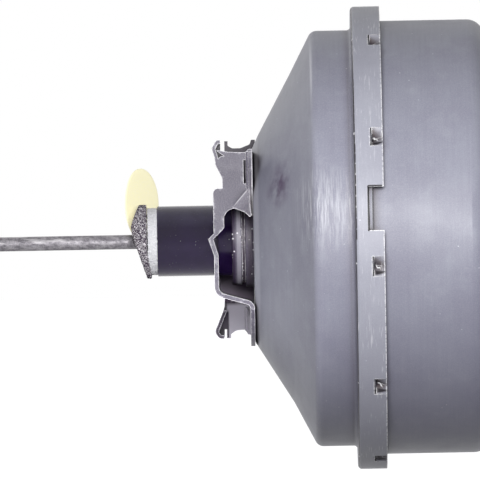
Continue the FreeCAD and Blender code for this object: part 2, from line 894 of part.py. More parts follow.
def bracket_section():
    """The hat section: foot, top wall, firewall plate, bottom wall and foot, as one sheet."""
    path = [
        (foot_x, -bracket_bottom), (foot_x, -plate_bottom - bottom_wall_slope * foot_x, foot_bend_r),
        (0, -plate_bottom, plate_bottom_bend_r), (0, plate_top, plate_top_bend_r),
        (top_wall_flat, plate_top, 2 * foot_bend_r), (foot_x, top_wall_end, foot_bend_r),
        (foot_x, foot_top),
    ]
    return Part.Face(path_wire(offset_path(path, -bracket_sheet), True))


def pressed(points, y0, y1):
    """A flat or folded piece of the bracket between two planes across Y."""
    solid = Part.Face(path_wire(points, True)).extrude(V(0, y1 - y0, 0))
    solid.translate(V(0, y0, 0))
    return solid


def cheek_edge():
    """The cabin-side edge of both cheeks from the ear down to the plate's top."""
    middle = ear_sheet / 2
    return [
        (gap_from_x, ear_top - middle), (2.6 + middle, ear_top - middle, 2.0),
        (ear_x + middle, ear_z, 3.0), (1.3 + middle, 50.0, 3.0), (1.7, 45.6, 4.0),
        (cheek_waist_x, cheek_waist_z, 5.0), (cheek_waist_x, plate_top - 0.1),
    ]


def far_cheek():
    """Full height, with a scooped top and bottom edge between the ears and the feet."""
    middle = ear_sheet / 2
    right = flat_x - seated
    top = [
        (rear_tab_x + 2.3, cheek_far_top), (rear_tab_x + 2.3, ear_top + 0.2),
        (rear_tab_x, ear_top + 0.2), (rear_tab_x - 1, cheek_far_top + 2.2, 1.0),
        (17.0, cheek_far_top, 4.0), (12.0, cheek_far_top, 3.0),
        (tab_to_x, cheek_far_top + 1.6, 1.0), (tab_to_x, tab_top), (gap_to_x, tab_top),
        (gap_to_x, gap_bottom), (gap_from_x, gap_bottom),
    ]
    left = [
        (0.1, plate_top - 0.1, plate_top_bend_r), (0.1, -plate_bottom, plate_bottom_bend_r),
        (5.9, -plate_bottom - 1.7), (5.6, -40.5, 4.0), (ear_x + middle, -ear_z, 2.5),
        (2.6 + middle, -low_tab_bottom + middle, 2.0), (low_gap_from_x, -low_tab_bottom + middle),
    ]
    bottom = [
        (low_gap_from_x, -gap_bottom), (low_gap_to_x, -gap_bottom), (low_gap_to_x, -low_tab_bottom),
        (tab_to_x, -low_tab_bottom), (tab_to_x, -57.2, 0.8), (12.5, -54.9, 5.0), (18.0, -54.5, 1.0),
        (19.6, -57.4, 0.8), (right, -58.5),
    ]
    points = top + cheek_edge() + left + bottom + [(right, foot_top)]
    return pressed(points, bracket_half_width - bracket_sheet, bracket_half_width)


def near_cheek():
    """Upper half only: it arches over the open side and leaves a strip beside the plate."""
    right = flat_x - seated
    points = cheek_edge()[2:] + [
        (0.1, plate_top - 0.1, plate_top_bend_r), (0.1, 2.8), (2.0, 2.8),
        (arch_strip_x, arch_strip_z, 1.5), (arch_strip_x, 14.2, 3.0), (8.6, 17.8, 3.0),
        (arch_top_x, arch_top_z, 2.0), (16.8, 17.5, 3.0), (19.4, 16.3, 2.0), (21.9, 13.6, 0.8),
        (right, gusset_z), (right, cheek_near_top + 1.6), (22.0, cheek_near_top + 1.6, 0.8),
        (19.8, cheek_near_top - 0.4, 2.0), (9.7, cheek_near_top, 5.0),
        (gap_from_x, gap_bottom), (ear_x + ear_sheet + 1, gap_bottom),
    ]
    cheek = pressed(points, -bracket_half_width, -bracket_half_width + bracket_sheet)
    half = cheek_slot / 2
    width = cheek_slot_width / 2
    slot = block(cheek_slot_x - width, cheek_slot_x + width, -bracket_half_width - 1,
                 -bracket_half_width + bracket_sheet + 1, cheek_slot_z - half, cheek_slot_z + half)
    return cheek.cut(slot)


def ear(y0, y1):
    """The lip curled round at an upper corner of a cheek, on the firewall side."""
    path = [(gap_from_x, ear_top), (2.4, ear_top - 0.2, ear_bend_r - 0.8),
            (ear_x, ear_z, ear_bend_r), (1.3, 50.0, 4.0), (1.7, 45.6)]
    return pressed(offset_path(path, ear_sheet), y0, y1)


def low_ear():
    """The deeper lip at the far cheek's lower corner, open towards the near side."""
    path = [(low_gap_from_x - 0.4, -low_tab_bottom - 0.2), (2.2, -low_tab_bottom, ear_bend_r - 0.8),
            (ear_x, -ear_z, ear_bend_r), (low_ear_end_x, -low_ear_end_z)]
    return pressed(offset_path(path, -ear_sheet), bracket_half_width - low_ear_depth,
                   bracket_half_width)


def folds():
    """Half-round folds down the cheeks where they turn towards the shell."""
    near = -bracket_half_width + fold_r - fold_rise
    far = bracket_half_width - bracket_sheet - fold_r + fold_rise
    made = []
    for x in (fold_x, fold_x + fold_gap_x):
        top = V(x, near, cheek_near_top)
        middle = V(x, near, fold_from_z)
        foot = V(gusset_x - 0.6, near, gusset_z + 1)
        made.append(Part.makeCylinder(fold_r, (top - middle).Length, middle, top - middle))
        made.append(Part.makeCylinder(fold_r, (middle - foot).Length, foot, middle - foot))
        made.append(Part.makeSphere(fold_r, middle))
    inside = V(fold_x - 2, far + fold_r - fold_rise, -plate_bottom - 8)
    made.append(Part.makeCylinder(fold_r, 14, inside, V(0, 0, -1)))
    return made


def gusset():
    """The lower corner of the near cheek, folded outwards along a slanting line."""
    y = -bracket_half_width
    start = V(arch_top_x - 1.5, y, arch_top_z + 1.4)
    end = V(fold_x - 0.4, y, fold_from_z)
    tip = V(gusset_x, y - gusset_rise, gusset_z)
    outline = [start, end, V(gusset_x, y, gusset_z), V(21.9, y, 13.8), V(19.4, y, 16.5),
               V(16.8, y, 17.6), V(arch_top_x, y, arch_top_z + 0.1), start]
    prism = Part.Face(Part.makePolygon(outline)).extrude(V(0, -3 * gusset_rise, 0))
    prism.translate(V(0, 0.2, 0))
    inside = Part.Plane(start, end, tip).toShape().makeHalfSpace(V(tip.x, 0, tip.z))
    return prism.common(inside)


def crease_section(y, reach):
    back = bracket_sheet
    peak = (crease_from_z + 3 * crease_to_z) / 4
    outer = [V(0, y, crease_from_z), V(-reach, y, peak), V(0, y, crease_to_z)]
    inner = [V(back, y, crease_to_z), V(back - 0.9 * reach, y, peak), V(back, y, crease_from_z)]
    return Part.makePolygon(outer + inner + outer[:1])


def crease():
    """A V fold across the plate's near edge, standing out towards the cabin and fading away."""
    return Part.makeLoft([crease_section(-bracket_half_width, crease_reach),
                          crease_section(-bracket_half_width + crease_depth, 0)], True, True)


def firewall_bracket():
    sheet_body = bracket_section().extrude(V(0, 2 * bracket_half_width, 0))
    sheet_body.translate(V(0, -bracket_half_width, 0))
    half = bracket_half_width + overcut
    trim = Part.makeCylinder(bracket_trim_r, flat_x + 2 * overcut,
                             V(-overcut, 0, bracket_trim_r - bracket_bottom - 1), AXIS)
    core = block(-overcut, foot_x - 0.1, -half, half, -half, half)
    sheet_body = sheet_body.common(trim.fuse(core))
    groove = block(-overcut, overcut, -half, -bracket_half_width + crease_depth,
                   crease_from_z, crease_to_z)
    sheet_body = sheet_body.cut(groove)
    y = bracket_half_width
    parts = [far_cheek(), near_cheek(), ear(-y, ear_depth - y), ear(y - ear_depth, y), low_ear(),
             gusset(), crease()]
    body = sheet_body.fuse(parts + folds())
    holes = [Part.makeCylinder(tube_hole_r, 2 * overcut, V(-overcut, 0, 0), AXIS)]
    for y in (-firewall_spacing_y / 2, firewall_spacing_y / 2):
        for z in (-firewall_spacing_z / 2, firewall_spacing_z / 2):
            holes.append(Part.makeCylinder(firewall_hole_r, 2 * overcut, V(-overcut, y, z), AXIS))
    return body.cut(holes).removeSplitter()


PIECES = {
    "rear_shell": rear_shell,
    "rear_neck": rear_neck,
    "front_shell": front_shell,
    "firewall_bracket": firewall_bracket,
    "seal_retainer": seal_retainer,
    "rear_bearing": rear_bearing,
    "rear_seal": rear_seal,
    "front_seal": front_seal,
    "stud_plate": stud_plate,
    "master_cylinder_studs": studs,
    "diaphragm": diaphragm,
    "diaphragm_plate": diaphragm_plate,
    "valve_body": valve_body,
    "valve_key": valve_key,
    "valve_plunger": valve_plunger,
    "ball_seat": ball_seat,
    "input_pushrod": input_pushrod,
    "pedal_bush": pedal_bush,
    "reaction_disc": reaction_disc,
    "output_pushrod": output_pushrod,
    "pushrod_screw": pushrod_screw,
    "pushrod_clip": pushrod_clip,
    "poppet_retainer": poppet_retainer,
    "poppet_valve": poppet_valve,
    "poppet_spring": poppet_spring,
    "spring_seat": spring_seat,
    "valve_return_spring": valve_return_spring,
    "return_spring": return_spring,
    "filter_felt": felt,
    "filter_foam": foam,
    "card_tag": tag,
    "valve_grommet": valve_grommet,
    "check_valve_body": check_body,
    "check_valve_cover": check_cover,
    "check_poppet": check_poppet,
    "check_spring": check_spring,
}

os.makedirs("parts", exist_ok=True)
for name, make in PIECES.items():
    shape = make()
    solids = shape.Solids
    sound = shape.isValid() and all(s.isClosed() for s in solids)
    print(name, len(solids), "solids", round(shape.Volume), "mm3", "" if sound else "NOT VALID")
    shape.exportStep(os.path.join("parts", name + ".step"))
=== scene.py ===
"""The brake booster's looks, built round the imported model. Metres, in the model's own frame.

+X runs along the booster's axis, +Z is up and the camera looks along +Y.
"""

import bpy
import bmesh
import math
from mathutils import Matrix, Vector, noise


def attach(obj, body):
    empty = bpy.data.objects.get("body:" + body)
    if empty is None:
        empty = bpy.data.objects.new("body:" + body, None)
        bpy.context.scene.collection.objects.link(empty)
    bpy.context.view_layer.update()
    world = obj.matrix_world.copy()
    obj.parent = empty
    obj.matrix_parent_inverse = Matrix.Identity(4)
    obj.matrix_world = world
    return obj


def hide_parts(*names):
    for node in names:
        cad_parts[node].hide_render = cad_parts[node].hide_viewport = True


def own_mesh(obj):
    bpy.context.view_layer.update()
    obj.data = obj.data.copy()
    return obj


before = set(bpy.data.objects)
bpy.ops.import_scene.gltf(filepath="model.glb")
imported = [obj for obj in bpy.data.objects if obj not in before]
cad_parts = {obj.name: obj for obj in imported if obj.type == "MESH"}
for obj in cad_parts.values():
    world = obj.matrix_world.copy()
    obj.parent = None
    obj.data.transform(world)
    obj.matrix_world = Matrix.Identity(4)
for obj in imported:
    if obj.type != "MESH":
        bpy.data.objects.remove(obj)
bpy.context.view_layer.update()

MM = 0.001

# The photograph's frame: what it spans at the booster's axis, its middle and its roll
view_width = 290.7 * MM
view_middle_x = 15.8 * MM
view_roll = math.radians(1.06)
camera_distance = 12.0
sensor_width = 36.0

# Three soft boxes, a narrow beam from below, and a white world and floor round the part
box_size = 0.24
key_power = 6.3
key_place = Vector((0.07, -0.84, 0.13))
key_target = Vector((0.06, 0.0, 0.0))
fill_power = 0.95
fill_place = Vector((-1.0, -0.5, 0.2))
back_power = 2.2
back_place = Vector((-0.7, 0.8, 0.7))
low_power = 19.0
low_place = Vector((0.0, -0.75, -0.19))
low_target = Vector((0.008, 0.04, -0.052))
low_angle = math.radians(9)
low_radius = 0.05
ambient = 0.06
floor_z = -0.205
floor_size = 120.0
floor_colour = (0.12, 0.12, 0.13, 1)
floor_glow = 0.96

# The rear shell's band, with its lances and the notch in its free edge, and the lines of painted
# highlight and shade on them
band_start = 84.8 * MM
band_end = 102.4 * MM
band_r = 140.0 * MM
band_fade = 0.4 * MM
lance_count = 11
lance_turn = math.radians(-7.2)
lance_start = 93.6 * MM
lance_end = 100.8 * MM
lance_half = 5.8 * MM
lance_bottom = 4.2 * MM
lance_rise = 2.6 * MM
lance_wave = 1.1 * MM
notch_left = 93.0 * MM
notch_right = 95.5 * MM
notch_end = 101.4 * MM
notch_low = 4.0 * MM
notch_high = 31.1 * MM
notch_line = 0.35 * MM
notch_thin_line = 0.1 * MM
notch_near_y = -100.0 * MM

# Painted shade, light, highlights and reflection on the shells and the tube, a rub on the band and
# dust on the tube
barrel_start = 64.0 * MM
low_shade_start = 58.0 * MM
low_shade_top = 0.0 * MM
low_shade_end = -105.0 * MM
lit_strip_start = 23.4 * MM
lit_strip_end = 28.0 * MM
rub_low = 12.0 * MM
rub_high = 48.0 * MM
bracket_shade_place = Vector((37.6, -81.0, 33.0)) * MM
bracket_shade_r = 17.0 * MM
crease_highlight_place = Vector((64.0, -122.0, 18.0)) * MM
crease_highlight_r = 30.0 * MM
neck_shade_x = 13.2 * MM
neck_highlight_start = 13.4 * MM
neck_highlight_end = 16.4 * MM
tube_dust_z = 4.5 * MM
tube_reflection_low = 8.0 * MM
tube_reflection_high = 21.0 * MM

# Where shade and light are painted on the bracket: its near cheek's slanting fold, its far cheek
# and its lower ear
cheek_x = 11.5 * MM
cheek_y = -25.0 * MM
cheek_z = 31.5 * MM
fold_foot_x = 14.2 * MM
fold_foot_z = 22.6 * MM
fold_across_x = 0.752
fold_across_z = 0.658
far_cheek_y = 47.3 * MM
far_cheek_low = -38.0 * MM
ear_x = 8.6 * MM
ear_z = -42.0 * MM

# The foam and the tag
foam_front_x = -40.5 * MM
foam_point_x = -50.9 * MM
foam_point_z = 8.8 * MM
foam_low_slope = 0.33
foam_high_slope = 0.42
foam_blunt = 0.7 * MM
foam_blunt_half = 3.0 * MM
foam_r = 22.4 * MM
foam_hole_r = 4.5 * MM
foam_thin = 0.3 * MM
foam_lip = 2.6 * MM
foam_lip_r = 21.0 * MM
foam_lip_fade = 15.0 * MM
foam_brown_start = -45.0 * MM
foam_brown_end = -53.0 * MM
foam_rings = 24
foam_steps = 120
tag_steps = 72
tag_bow = 0.5 * MM

# Colours that come more than once
pale_paint = (0.72, 0.73, 0.78, 1)
pale_steel = (0.85, 0.83, 0.88, 1)
bright_steel = (0.9, 0.9, 0.92, 1)


class Finish:
    """A material's node tree, with short calls for the nodes that the finishes share."""

    def __init__(self, name):
        self.material = bpy.data.materials.new(name)
        self.material.use_nodes = True
        self.tree = self.material.node_tree
        self.shader = self.tree.nodes["Principled BSDF"]
        self.place = self.node("ShaderNodeTexCoord").outputs["Object"]

    def node(self, kind, **settings):
        made = self.tree.nodes.new(kind)
        for key, value in settings.items():
            setattr(made, key, value)
        return made

    def feed(self, socket, value):
        """Sets a socket, or links it where the value is another node's output."""
        if isinstance(value, bpy.types.NodeSocket):
            self.tree.links.new(value, socket)
        else:
            socket.default_value = value

    def set(self, **values):
        """Feeds the shader's sockets, named in small letters."""
        for key, value in values.items():
            socket = key.replace("_", " ").title().replace("Ior", "IOR")
            self.feed(self.shader.inputs[socket], value)
        return self

    def math(self, operation, *values, clamp=False):
        made = self.node("ShaderNodeMath", operation=operation, use_clamp=clamp)
        for socket, value in zip(made.inputs, values):
            self.feed(socket, value)
        return made.outputs[0]

    def times(self, *values):
        product = values[0]
        for value in values[1:]:
            product = self.math("MULTIPLY", product, value)
        return product

    def noise(self, scale, place=None, detail=4.0, roughness=0.55, distortion=0.0):
        made = self.node("ShaderNodeTexNoise")
        self.feed(made.inputs["Vector"], place or self.place)
        self.feed(made.inputs["Scale"], scale)
        self.feed(made.inputs["Detail"], detail)
        self.feed(made.inputs["Roughness"], roughness)
        self.feed(made.inputs["Distortion"], distortion)
        return made.outputs["Fac"]

    def streaks(self, along, across, detail, roughness=0.55):
        """Noise with one scale along the booster's axis and another across it."""
        made = self.node("ShaderNodeMapping")
        self.feed(made.inputs["Vector"], self.place)
        self.feed(made.inputs["Scale"], (along, across, across))
        return self.noise(1.0, made.outputs[0], detail, roughness)

    def cells(self, scale, feature="F1"):
        made = self.node("ShaderNodeTexVoronoi", feature=feature)
        self.feed(made.inputs["Vector"], self.place)
        self.feed(made.inputs["Scale"], scale)
        return made.outputs["Distance"]

    def between(self, value, start, end, low=0.0, high=1.0):
        """Carries a value from one range to another, held at the ends."""
        made = self.node("ShaderNodeMapRange")
        self.feed(made.inputs["Value"], value)
        self.feed(made.inputs["From Min"], start)
        self.feed(made.inputs["From Max"], end)
        self.feed(made.inputs["To Min"], low)
        self.feed(made.inputs["To Max"], high)
        return made.outputs["Result"]

    def window(self, value, start, full, fade, end):
        """1 from full to fade, and 0 before start and after end."""
        return self.times(self.between(value, start, full), self.between(value, end, fade))

    def mix(self, share, first, second):
        made = self.node("ShaderNodeMix", data_type="RGBA")
        self.feed(made.inputs["Factor"], share)
        self.feed(made.inputs["A"], first)
        self.feed(made.inputs["B"], second)
        return made.outputs["Result"]

    def edges(self, radius):
        """1 on edges that a bevel of that radius would reach, and 0 elsewhere."""
        bevel = self.node("ShaderNodeBevel", samples=8)
        self.feed(bevel.inputs["Radius"], radius)
        flat = self.node("ShaderNodeNewGeometry").outputs["Normal"]
        made = self.node("ShaderNodeVectorMath", operation="DOT_PRODUCT")
        self.feed(made.inputs[0], bevel.outputs[0])
        self.feed(made.inputs[1], flat)
        return self.between(made.outputs["Value"], 0.99, 0.9)

    def shelter(self, distance, start, end):
        """1 deep in a recess of about that size, and 0 in the open."""
        made = self.node("ShaderNodeAmbientOcclusion", samples=8)
        self.feed(made.inputs["Distance"], distance)
        return self.between(made.outputs["AO"], start, end, 1.0, 0.0)

    def split(self, vector, axis):
        made = self.node("ShaderNodeSeparateXYZ")
        self.feed(made.inputs[0], vector)
        return made.outputs[axis]

    def along(self, axis):
        """The place along one of the model's axes."""
        return self.split(self.place, axis)

    def normal(self, axis):
        """How far the surface faces along one of the axes, from -1 to 1."""
        return self.split(self.node("ShaderNodeNewGeometry").outputs["Normal"], axis)

    def radial(self):
        """The distance from the booster's axis."""
        squares = [self.math("POWER", self.along(axis), 2.0) for axis in "YZ"]
        return self.math("SQRT", self.math("ADD", *squares))

    def near(self, place, radius):
        """1 at a point of the model, falling to 0 at the radius."""
        made = self.node("ShaderNodeVectorMath", operation="DISTANCE")
        self.feed(made.inputs[0], self.place)
        self.feed(made.inputs[1], place)
        return self.between(made.outputs["Value"], radius, 0.0)

    def bump(self, height, distance, strength, after=None):
        made = self.node("ShaderNodeBump")
        self.feed(made.inputs["Height"], height)
        self.feed(made.inputs["Distance"], distance)
        self.feed(made.inputs["Strength"], strength)
        if after is not None:
            self.feed(made.inputs["Normal"], after)
        return made.outputs["Normal"]


def colour(r, g, b):
    return (r, g, b, 1)


def pressed_paint(f, base, dark, pale, edge_radius, wear, deep_shade):
    """Thin paint over drawn steel: rings from the drawing, blotches, dust and worn edges, with
    dirt and painted shade in small recesses and painted shade deep in large ones.
    """
    rings = f.streaks(700, 22, detail=3, roughness=0.6)
    blotches = f.noise(20, detail=4, roughness=0.6)
    patches = f.noise(75, detail=3)
    grain = f.noise(1700, detail=2)
    paint = f.mix(f.between(rings, 0.3, 0.7, 0.0, 0.3), base, dark)
    paint = f.mix(f.between(blotches, 0.42, 0.66, 0.0, 0.55), paint, dark)
    paint = f.mix(f.between(patches, 0.55, 0.75, 0.0, 0.07), paint, pale)
    paint = f.mix(f.between(grain, 0.4, 0.8, 0.0, 0.16), paint, pale)
    dust = f.between(f.cells(210), 0.085, 0.05)
    sparse = f.between(f.noise(60), 0.55, 0.58)
    paint = f.mix(f.times(dust, sparse), paint, pale)
    # Dirt and painted shade: dark brown in recesses of about 8 mm.
    grime_and_shade = f.mix(f.noise(130), colour(0.035, 0.025, 0.04), colour(0.09, 0.065, 0.05))
    paint = f.mix(f.times(f.shelter(8 * MM, 0.45, 0.92), 0.8), paint, grime_and_shade)
    # Painted shade deep in large recesses.
    paint = f.mix(f.times(f.shelter(50 * MM, 0.22, 0.5), deep_shade), paint,
                  colour(0.022, 0.016, 0.032))
    worn = f.times(f.edges(edge_radius), f.between(f.noise(260), wear, wear + 0.2))
    paint = f.mix(worn, paint, pale)
    relief = f.bump(rings, 0.1 * MM, 0.12)
    relief = f.bump(grain, 0.05 * MM, 0.3, relief)
    f.set(roughness=f.between(blotches, 0.3, 0.7, 0.36, 0.46), specular_ior_level=0.3,
          normal=relief)
    return paint


def gap_shade_lines(f, paint):
    """Painted shade: black lines where two sheets meet or a sheet folds in on itself."""
    return f.mix(f.times(f.shelter(1.8 * MM, 0.5, 0.84), 0.96), paint,
                 colour(0.008, 0.006, 0.012))


def notch_shade_lines(f, paint):
    """Painted shade: the black gap round the band's notch, on the side that the camera sees."""
    x, y, z = (f.along(axis) for axis in "XYZ")
    soft = 0.25 * MM

    def line(value, place, half):
        off = f.math("ABSOLUTE", f.math("SUBTRACT", value, place))
        return f.between(off, half + soft, half)

    height = line(z, (notch_low + notch_high) / 2, (notch_high - notch_low) / 2)
    width = line(x, (notch_left + notch_end) / 2, (notch_end - notch_left) / 2)
    left = f.times(line(x, notch_left, notch_line), height)
    right = f.times(line(x, notch_right, notch_thin_line), height)
    top = f.times(line(z, notch_high, notch_line), width)
    black = f.math("MAXIMUM", f.math("MAXIMUM", left, top), f.times(right, 0.75))
    near_side = f.between(y, notch_near_y, notch_near_y - 2 * MM)
    return f.mix(f.times(black, near_side), paint, colour(0.008, 0.006, 0.01))


def lined(f, paint):
    """The finished material of a shell, with its lines of painted shade over all the wear."""
    return f.set(base_color=notch_shade_lines(f, gap_shade_lines(f, paint))).material


def shell_base(name):
    """Grey-blue paint, with painted shade from the bracket on the cone and painted shade on the
    lower half from the barrel on.
    """
    f = Finish(name)
    paint = pressed_paint(f, colour(0.31, 0.315, 0.385), colour(0.22, 0.215, 0.285), pale_paint,
                          0.4 * MM, 0.3, 0.15)
    # Painted shade from the bracket on the cone.
    bracket_shade = f.times(f.near(bracket_shade_place, bracket_shade_r), f.between(f.noise(110), 0.35, 0.6))
    paint = f.mix(f.math("MULTIPLY", bracket_shade, 1.3, clamp=True), paint, colour(0.09, 0.06, 0.12))
    # Painted shade: darker towards the bottom, from the barrel on.
    low = f.times(f.between(f.along("Z"), low_shade_top, low_shade_end),
                  f.between(f.along("X"), low_shade_start, barrel_start))
    return f, f.mix(f.times(low, 0.5), paint, colour(0.12, 0.115, 0.165))


def lance_lines(f):
    """A painted highlight across each lance of the band, and painted black shade in the slit and
    corner beside it.
    """
    turn = f.math("ARCTAN2", f.along("Z"), f.times(f.along("Y"), -1.0))
    half_pitch = math.pi / lance_count
    local = f.math("WRAP", f.math("SUBTRACT", turn, lance_turn), half_pitch, -half_pitch)
    across = f.times(local, band_r)
    along = f.between(f.along("X"), lance_start, lance_end, -1.0, 1.0)
    waved = f.times(f.between(f.noise(300), 0.3, 0.7, -1.0, 1.0), lance_wave)
    off = f.math("ADD", f.math("ADD", across, f.times(along, lance_rise)), waved)
    line = f.between(f.math("ABSOLUTE", off), 0.7 * MM, 0.3 * MM)
    inside = f.between(f.radial(), band_r - 0.4 * MM, band_r - 0.9 * MM)
    reach = f.between(f.math("ABSOLUTE", across), lance_half - 1.8 * MM, lance_half - 2.6 * MM)
    reach = f.times(reach, f.between(along, 0.75, 0.5))
    slit = f.between(along, -0.62, -0.78)
    corner = f.times(f.between(across, -2.4 * MM, -3.2 * MM), f.between(along, -0.4, 0.0))
    return f.times(line, inside, reach), f.times(f.math("MAXIMUM", slit, corner), inside)


def banded_paint():
    """The rear shell's paint: its band is paler and scratched, with painted brown and dark shade
    in the lances, painted highlights on them and where the cone meets the barrel, and painted
    light beside the bracket.
    """
    f, paint = shell_base("rear_shell_paint")
    x = f.along("X")
    band = f.window(x, band_start, band_start + band_fade, band_end, band_end + band_fade)
    paint = f.mix(f.times(band, 0.2), paint, pale_paint)
    # Painted brown shade in the lances' recesses.
    lance_shade = f.times(f.shelter(11 * MM, 0.8, 0.98), f.between(f.noise(170), 0.3, 0.6))
    paint = f.mix(f.times(lance_shade, band, 0.8), paint, colour(0.14, 0.11, 0.09))
    # Painted dark shade, darker the deeper the lances sink.
    depth = f.between(f.radial(), band_r - 0.5 * MM, band_r - lance_bottom)
    paint = f.mix(f.times(depth, band), paint, colour(0.03, 0.02, 0.032))
    scratches = f.between(f.streaks(1600, 90, detail=3), 0.6, 0.68)
    rubbed = f.times(scratches, f.between(f.noise(45), 0.44, 0.56))
    paint = f.mix(f.times(rubbed, band, 0.45), paint, colour(0.85, 0.85, 0.88))
    bare = f.times(f.edges(1.4 * MM), f.between(f.noise(480), 0.4, 0.5))
    rub = f.times(f.window(f.along("Z"), rub_low, rub_low + 5 * MM, rub_high - 6 * MM, rub_high),
                  f.between(x, band_start + 1.5 * MM, band_start + 0.9 * MM))
    paint = f.mix(f.times(f.math("MAXIMUM", bare, rub), band), paint, bright_steel)
    # Painted highlight across each lance and painted black shade in its slit and corner.
    lance_highlight, black = lance_lines(f)
    paint = f.mix(f.times(black, band), paint, colour(0.012, 0.009, 0.014))
    paint = f.mix(f.times(lance_highlight, band), paint, bright_steel)
    # Painted highlight with fine streaks where the cone meets the barrel.
    streaks = f.between(f.streaks(1100, 60, detail=4, roughness=0.7), 0.46, 0.62)
    paint = f.mix(f.times(streaks, f.near(crease_highlight_place, crease_highlight_r), 0.6), paint,
                  colour(0.8, 0.81, 0.86))
    # Painted light on the rounded edge beside the bracket.
    lit_strip = f.window(x, lit_strip_start, lit_strip_start + 0.5 * MM, lit_strip_end - 1.2 * MM, lit_strip_end)
    return lined(f, f.mix(f.times(lit_strip, 0.26), paint, colour(0.8, 0.79, 0.86)))


def gusset_fold(f, paint):
    """The near cheek's slanting fold, in painted light: a highlight along it, shade behind it and
    light before it.
    """
    x, y, z = (f.along(axis) for axis in "XYZ")
    across = f.math("SUBTRACT", f.times(f.math("SUBTRACT", x, fold_foot_x), fold_across_x),
                    f.times(f.math("SUBTRACT", z, fold_foot_z), fold_across_z))
    near_cheek = f.times(f.between(y, cheek_y, cheek_y - 3 * MM),
                         f.between(x, cheek_x, cheek_x + 3 * MM),
                         f.between(z, cheek_z, cheek_z - 2 * MM))
    shade = f.window(across, -5 * MM, -0.4 * MM, -0.1 * MM, 0.1 * MM)
    glow = f.window(across, -0.1 * MM, 0.1 * MM, 0.5 * MM, 6 * MM)
    line = f.between(f.math("ABSOLUTE", across), 0.45 * MM, 0.15 * MM)
    # Painted shade, light and highlight along the fold.
    paint = f.mix(f.times(shade, near_cheek, 0.45), paint, colour(0.035, 0.028, 0.045))
    paint = f.mix(f.times(glow, near_cheek, 0.14), paint, colour(0.7, 0.67, 0.74))
    return f.mix(f.times(line, near_cheek, 0.45), paint, pale_steel)


def bracket_paint():
    """Dark worn paint. On faces towards the camera, shade is painted inside the far cheek and at
    the ear, and light is painted on the lower far cheek.
    """
    f = Finish("bracket_paint")
    paint = pressed_paint(f, colour(0.094, 0.083, 0.124), colour(0.054, 0.045, 0.074), pale_steel,
                          0.7 * MM, 0.05, 0.55)
    paint = gusset_fold(f, paint)
    scuffs = f.times(f.edges(3.5 * MM), f.between(f.noise(330, detail=5), 0.5, 0.62))
    paint = f.mix(f.times(scuffs, 0.4), paint, colour(0.8, 0.78, 0.84))
    x, y, z = (f.along(axis) for axis in "XYZ")
    facing = f.between(f.normal("Y"), -0.2, -0.5)
    # Painted shade inside the far cheek, darkest high up.
    inside = f.times(f.between(y, far_cheek_y - 1 * MM, far_cheek_y), facing,
                     f.between(z, far_cheek_low, far_cheek_low + 3 * MM))
    paint = f.mix(inside, paint, f.mix(f.between(z, -8 * MM, -24 * MM), colour(0.022, 0.014, 0.03),
                                       colour(0.11, 0.065, 0.14)))
    # Painted light on the lower far cheek, under the bottom wall.
    low = f.times(f.between(z, far_cheek_low, far_cheek_low - 2 * MM),
                  f.between(y, 0.0, 20 * MM), facing)
    paint = f.mix(f.times(low, 0.78), paint, colour(0.6, 0.57, 0.66))
    # Painted shade inside the lower ear, away from its edges.
    ear = f.times(low, f.between(x, ear_x, ear_x - 0.8 * MM),
                  f.between(z, ear_z, ear_z - 2 * MM))
    paint = f.mix(f.times(ear, f.between(f.edges(0.7 * MM), 0.5, 0.2)), paint,
                  colour(0.035, 0.025, 0.045))
    return f.set(base_color=gap_shade_lines(f, paint)).material


def neck_paint():
    """The shell's paint deep behind the bracket: dusty and deeply shaded, with painted shade in a
    groove and a painted highlight on the band next to it.
    """
    f = Finish("neck_paint")
    paint = pressed_paint(f, colour(0.15, 0.13, 0.19), colour(0.07, 0.055, 0.09),
                          colour(0.85, 0.84, 0.9), 0.9 * MM, 0.3, 0.4)
    x = f.along("X")
    # Painted shade in the groove at the front of the neck.
    paint = f.mix(f.times(f.between(x, neck_shade_x, neck_shade_x - 0.8 * MM), 0.85), paint,
                  colour(0.035, 0.022, 0.05))
    # Painted highlight on the band next to the groove.
    rim_highlight = f.window(x, neck_highlight_start, neck_highlight_start + 0.8 * MM, neck_highlight_end - 0.4 * MM,
                    neck_highlight_end)
    paint = f.mix(f.times(rim_highlight, 0.3), paint, colour(0.7, 0.68, 0.75))
    crumbs = f.times(f.between(f.cells(330), 0.2, 0.13), f.between(f.noise(90), 0.5, 0.54))
    return f.set(base_color=f.mix(crumbs, paint, pale_steel)).material


def black_resin():
    """Glossy black moulding with faint rings, a pale painted reflection on its upper side and a
    line of dust.
    """
    f = Finish("black_resin")
    rings = f.streaks(500, 12, detail=2)
    haze = f.noise(45, detail=3)
    z = f.along("Z")
    specks = f.times(f.between(f.cells(460), 0.17, 0.08), f.between(f.noise(120), 0.46, 0.54))
    dusty = f.between(f.math("ABSOLUTE", z), tube_dust_z, 0.0, 0.12, 1.0)
    body = f.mix(f.between(haze, 0.35, 0.7), colour(0.032, 0.012, 0.085),
                 colour(0.055, 0.028, 0.13))
    # Painted reflection: a pale band on the tube's upper side.
    bloom_and_reflection = f.window(z, tube_reflection_low, tube_reflection_low + 6 * MM, tube_reflection_high - 4 * MM,
                     tube_reflection_high)
    body = f.mix(f.times(bloom_and_reflection, f.between(haze, 0.3, 0.6, 0.3, 0.6)), body,
                 colour(0.26, 0.23, 0.42))
    body = f.mix(f.times(specks, dusty), body, colour(0.85, 0.85, 0.92))
    f.set(base_color=body, roughness=f.between(haze, 0.3, 0.7, 0.2, 0.28), specular_ior_level=0.42,
          normal=f.bump(rings, 0.02 * MM, 0.2))
    return f.material


